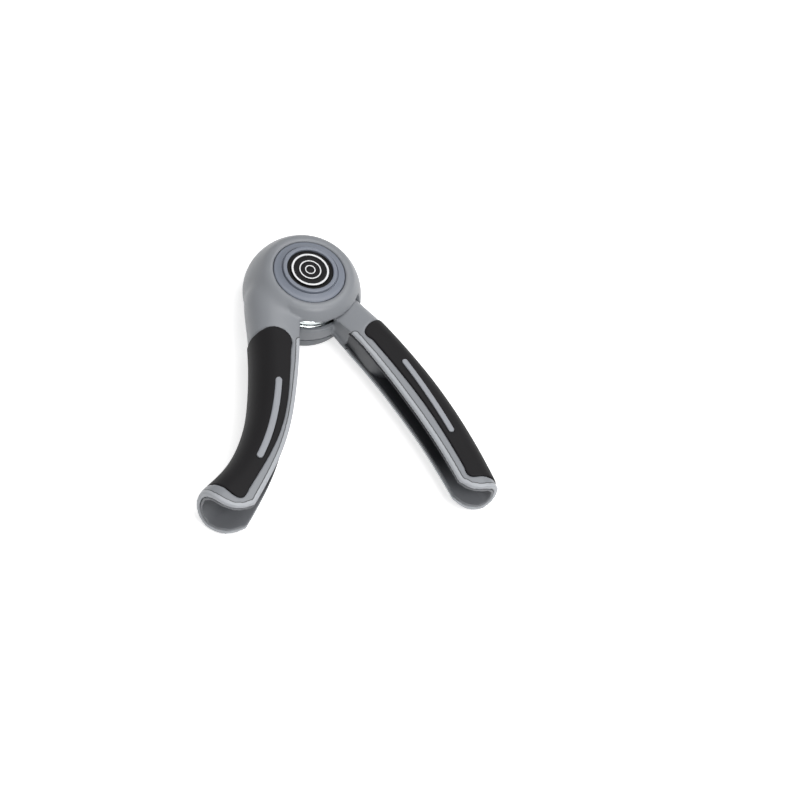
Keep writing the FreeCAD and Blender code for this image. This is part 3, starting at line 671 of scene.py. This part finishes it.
def spring_path():
    """Middle of the wire, from the end of the palm leg to the end of the finger leg."""
    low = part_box("torsion_spring")[0].z + WIRE_R
    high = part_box("torsion_spring")[1].z - WIRE_R
    palm_touch = leg_touch(PALM_RAY, PALM_OUTER_SIDE, PALM_LEG_END)
    finger_touch = leg_touch(FINGER_RAY, FINGER_OUTER_SIDE, FINGER_LEG_END)
    sweep = (palm_touch - finger_touch) % math.tau + math.tau * FULL_TURNS
    turn_steps = math.ceil(sweep / COIL_STEP)
    coil = []
    for step in range(turn_steps + 1):
        share = step / turn_steps
        angle = palm_touch - sweep * share
        z = low + (high - low) * share
        coil.append(Vector((COIL_R * math.cos(angle), COIL_R * math.sin(angle), z)))
    palm_tip = handle_point(PALM_RAY, PALM_OUTER_SIDE, *PALM_LEG_END, low)
    finger_tip = handle_point(FINGER_RAY, FINGER_OUTER_SIDE, *FINGER_LEG_END, high)
    palm_leg = [palm_tip.lerp(coil[0], step / LEG_STEPS) for step in range(LEG_STEPS)]
    finger_leg = [coil[-1].lerp(finger_tip, (step + 1) / LEG_STEPS) for step in range(LEG_STEPS)]
    return palm_leg + coil + finger_leg


def wire_tree():
    """Round wire along a path."""
    tree = bpy.data.node_groups.new("round_wire", "GeometryNodeTree")
    tree.interface.new_socket("Path", in_out="INPUT", socket_type="NodeSocketGeometry")
    radius = tree.interface.new_socket("Wire Radius", in_out="INPUT", socket_type="NodeSocketFloat")
    finish = tree.interface.new_socket("Finish", in_out="INPUT", socket_type="NodeSocketMaterial")
    tree.interface.new_socket("Wire", in_out="OUTPUT", socket_type="NodeSocketGeometry")
    start = tree.nodes.new("NodeGroupInput")
    end = tree.nodes.new("NodeGroupOutput")
    ring = tree.nodes.new("GeometryNodeCurvePrimitiveCircle")
    ring.inputs["Resolution"].default_value = WIRE_SIDES
    sweep = tree.nodes.new("GeometryNodeCurveToMesh")
    sweep.inputs["Fill Caps"].default_value = True
    real = tree.nodes.new("GeometryNodeRealizeInstances")
    paint = tree.nodes.new("GeometryNodeSetMaterial")
    tree.links.new(start.outputs["Wire Radius"], ring.inputs["Radius"])
    tree.links.new(start.outputs["Path"], sweep.inputs["Curve"])
    tree.links.new(ring.outputs["Curve"], sweep.inputs["Profile Curve"])
    tree.links.new(sweep.outputs["Mesh"], real.inputs["Geometry"])
    tree.links.new(real.outputs["Geometry"], paint.inputs["Geometry"])
    tree.links.new(start.outputs["Finish"], paint.inputs["Material"])
    tree.links.new(paint.outputs["Geometry"], end.inputs["Wire"])
    return tree, radius.identifier, finish.identifier


def make_spring():
    points = spring_path()
    curve = bpy.data.curves.new("spring_path", "CURVE")
    curve.dimensions = "3D"
    line = curve.splines.new("POLY")
    line.points.add(len(points) - 1)
    for slot, point in zip(line.points, points):
        slot.co = (*point, 1)
    obj = new_object("spring_wire", curve)
    tree, radius, finish = wire_tree()
    wire = obj.modifiers.new("wire", "NODES")
    wire.node_group = tree
    wire[radius] = WIRE_R
    wire[finish] = bright_chrome
    spring = finished(obj)
    shade(spring.data, WIRE_CREASE)
    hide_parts("torsion_spring")
    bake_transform(spring)


# Inner pieces that keep their CAD shape

CAD_FINISHES = {
    "palm_leg_clip": lining_grey_painted_shade,
    "pivot_bolt": zinc_steel,
    "lock_nut": zinc_steel,
    "nut_washer": zinc_steel,
    "lower_washer": slip_plastic,
    "upper_washer": slip_plastic,
    "hub_bush": bush_brass,
    "spring_spool": dull_black,
}


def finish_inner_pieces():
    for node, material in CAD_FINISHES.items():
        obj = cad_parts[node]
        for slot in obj.material_slots:
            slot.material = material


make_handle("palm", PALM_BODY, PALM_RAY, PALM_OUTER_SIDE, head_to_handle)
make_handle("finger", FINGER_BODY, FINGER_RAY, FINGER_OUTER_SIDE)
make_leg_holder()
make_head_cap()
make_badge()
make_under_cover()
make_spring()
finish_inner_pieces()


# Floor, light and camera

FLOOR_HALF = 6.0
FLOOR_GAP = 0.05 * MM
FLOOR_GLOW = 0.62
WORLD_LIGHT = 0.3
WORLD_SEEN = 0.85


def seen_strength(tree, socket, light, seen):
    """Strength that is light for lighting, and seen where the camera or a reflection looks at it."""
    ray = tree.nodes.new("ShaderNodeLightPath")
    looked_at = tree.nodes.new("ShaderNodeMath")
    looked_at.operation = "MAXIMUM"
    level = tree.nodes.new("ShaderNodeMapRange")
    level.inputs["To Min"].default_value = light
    level.inputs["To Max"].default_value = seen
    tree.links.new(ray.outputs["Is Camera Ray"], looked_at.inputs[0])
    tree.links.new(ray.outputs["Is Glossy Ray"], looked_at.inputs[1])
    tree.links.new(looked_at.outputs["Value"], level.inputs["Value"])
    tree.links.new(level.outputs["Result"], socket)


def make_floor():
    mesh = bpy.data.meshes.new("floor")
    half = FLOOR_HALF
    corners = [(-half, -half, 0), (half, -half, 0), (half, half, 0), (-half, half, 0)]
    mesh.from_pydata(corners, [], [(0, 1, 2, 3)])
    floor = new_object("floor", mesh)
    floor.location.z = cad_bounds[0].z - FLOOR_GAP
    material = bpy.data.materials.new("pale_floor")
    material.use_nodes = True
    shader = material.node_tree.nodes["Principled BSDF"]
    shader.inputs["Base Color"].default_value = (0.85, 0.85, 0.85, 1)
    shader.inputs["Roughness"].default_value = 0.9
    shader.inputs["Specular IOR Level"].default_value = 0.0
    shader.inputs["Emission Color"].default_value = (1, 1, 1, 1)
    seen_strength(material.node_tree, shader.inputs["Emission Strength"], 0.0, FLOOR_GLOW)
    mesh.materials.append(material)


LIGHT_AIM = (0, -0.045, 0.012)

# Name, azimuth and elevation in degrees, distance, width and height, and watts
LIGHTS = (
    ("overhead", 30, 72, 0.9, (0.6, 0.6), 3.6),
    ("key", -72, 48, 0.9, (0.35, 0.35), 3.4),
    ("fill", -150, 50, 1.0, (0.6, 0.4), 0.9),
)


def soft_light(name, azimuth, elevation, distance, size, watts):
    """Area light aimed at the middle of the object."""
    lamp = bpy.data.lights.new(name, "AREA")
    lamp.shape = "RECTANGLE"
    lamp.size = size[0]
    lamp.size_y = size[1]
    lamp.energy = watts
    obj = bpy.data.objects.new(name, lamp)
    bpy.context.scene.collection.objects.link(obj)
    aim = Vector(LIGHT_AIM)
    way = Vector((
        math.cos(elevation) * math.cos(azimuth),
        math.cos(elevation) * math.sin(azimuth),
        math.sin(elevation),
    ))
    obj.location = aim + way * distance
    obj.rotation_euler = way.to_track_quat("Z", "Y").to_euler()


def make_camera():
    right = Vector((math.cos(VIEW_AZIMUTH), math.sin(VIEW_AZIMUTH), 0))
    away = Vector((-math.sin(VIEW_AZIMUTH), math.cos(VIEW_AZIMUTH), 0))
    up = away * math.sin(VIEW_ELEVATION) + Vector((0, 0, math.cos(VIEW_ELEVATION)))
    forward = away * math.cos(VIEW_ELEVATION) - Vector((0, 0, math.sin(VIEW_ELEVATION)))
    picture_right = right * math.cos(VIEW_ROLL) + up * math.sin(VIEW_ROLL)
    picture_up = up * math.cos(VIEW_ROLL) - right * math.sin(VIEW_ROLL)
    centre = Vector((0, 0, TOP_Z)) + picture_right * BADGE_LEFT_OF_CENTRE - picture_up * BADGE_ABOVE_CENTRE
    data = bpy.data.cameras.new("camera")
    data.type = "ORTHO"
    data.ortho_scale = VIEW_WIDTH
    camera = bpy.data.objects.new("camera", data)
    bpy.context.scene.collection.objects.link(camera)
    turn = Matrix((picture_right, picture_up, -forward)).transposed().to_4x4()
    camera.matrix_world = Matrix.Translation(centre - forward * CAMERA_DISTANCE) @ turn
    bpy.context.scene.camera = camera


def make_world():
    world = bpy.data.worlds.new("studio")
    bpy.context.scene.world = world
    world.use_nodes = True
    background = world.node_tree.nodes["Background"]
    background.inputs["Color"].default_value = (1, 1, 1, 1)
    seen_strength(world.node_tree, background.inputs["Strength"], WORLD_LIGHT, WORLD_SEEN)


make_floor()
for light_name, light_azimuth, light_elevation, *shape_and_power in LIGHTS:
    soft_light(light_name, math.radians(light_azimuth), math.radians(light_elevation), *shape_and_power)
make_camera()
make_world()
bpy.context.scene.view_settings.view_transform = "Standard"
